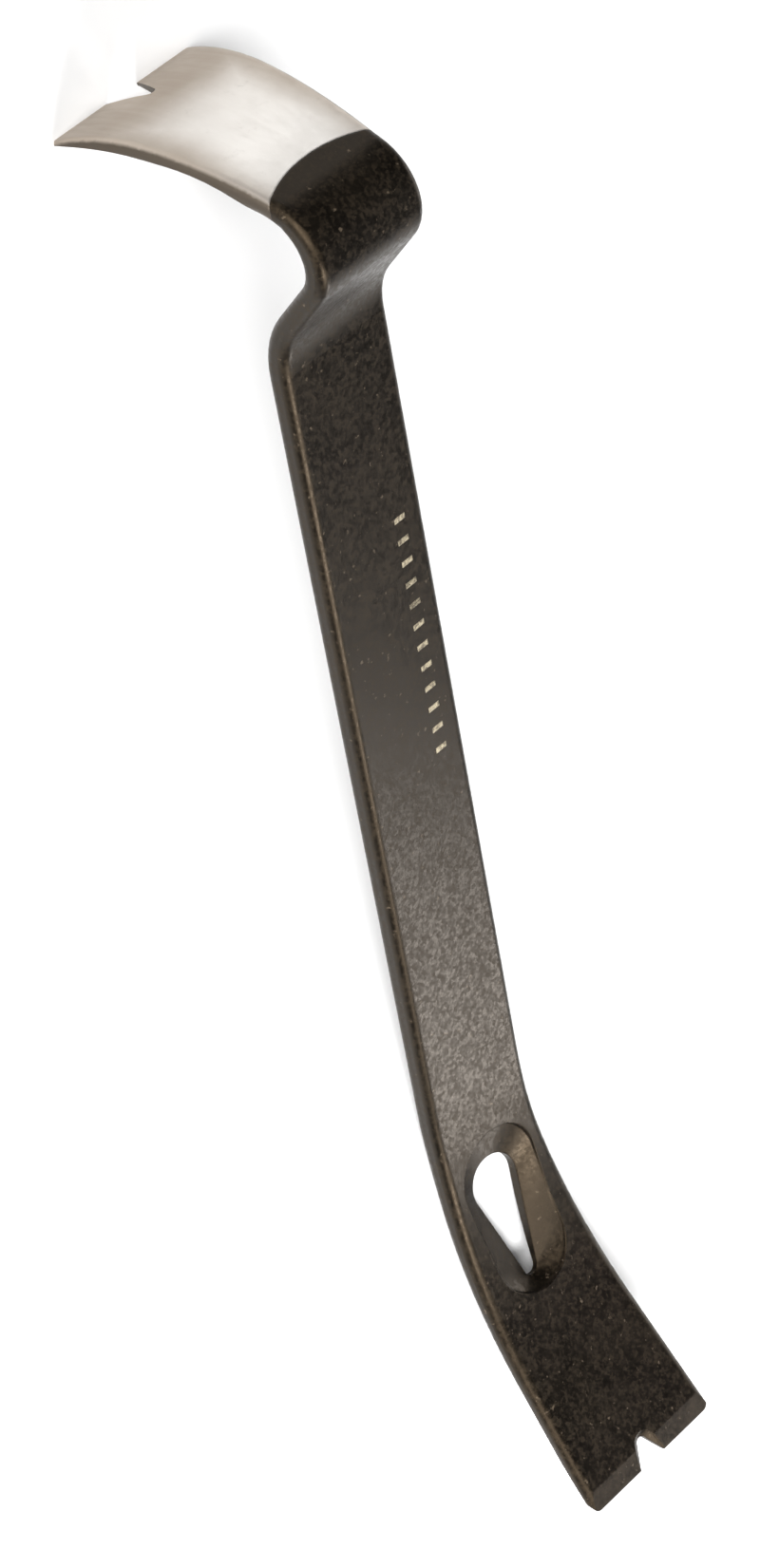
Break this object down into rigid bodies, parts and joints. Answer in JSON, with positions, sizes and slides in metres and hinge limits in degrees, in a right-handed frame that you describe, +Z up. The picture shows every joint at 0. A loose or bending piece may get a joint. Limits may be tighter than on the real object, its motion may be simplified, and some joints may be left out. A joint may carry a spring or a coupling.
{
  "type": "pry bar",
  "caption": "Forged flat pry bar with a hooked, flared bare claw, a lacquered black shank, a teardrop nail hole in its bend and a flared, slotted blade.",
  "frame": {"origin": "on the floor, under the middle of the bar's bounding box, with the bar lying on its claw edge and the underside of its bend", "axes": "+X along the bar from the hooked claw to the blade; +Y across its width; +Z up, out of the face opposite the hook"},
  "size_m": [0.3864, 0.0438, 0.068],
  "materials": {
    "bare_steel": "bare forged spring steel, ground and polished at the claw",
    "black_enamel": "baked black enamel, satin, slightly mottled",
    "mark_paint": "dull pale gold paint"
  },
  "bodies": {
    "root": {"forged_bar": "bare_steel", "enamel_coat": "black_enamel", "tick_marks": "mark_paint"}
  },
  "joints": []
}
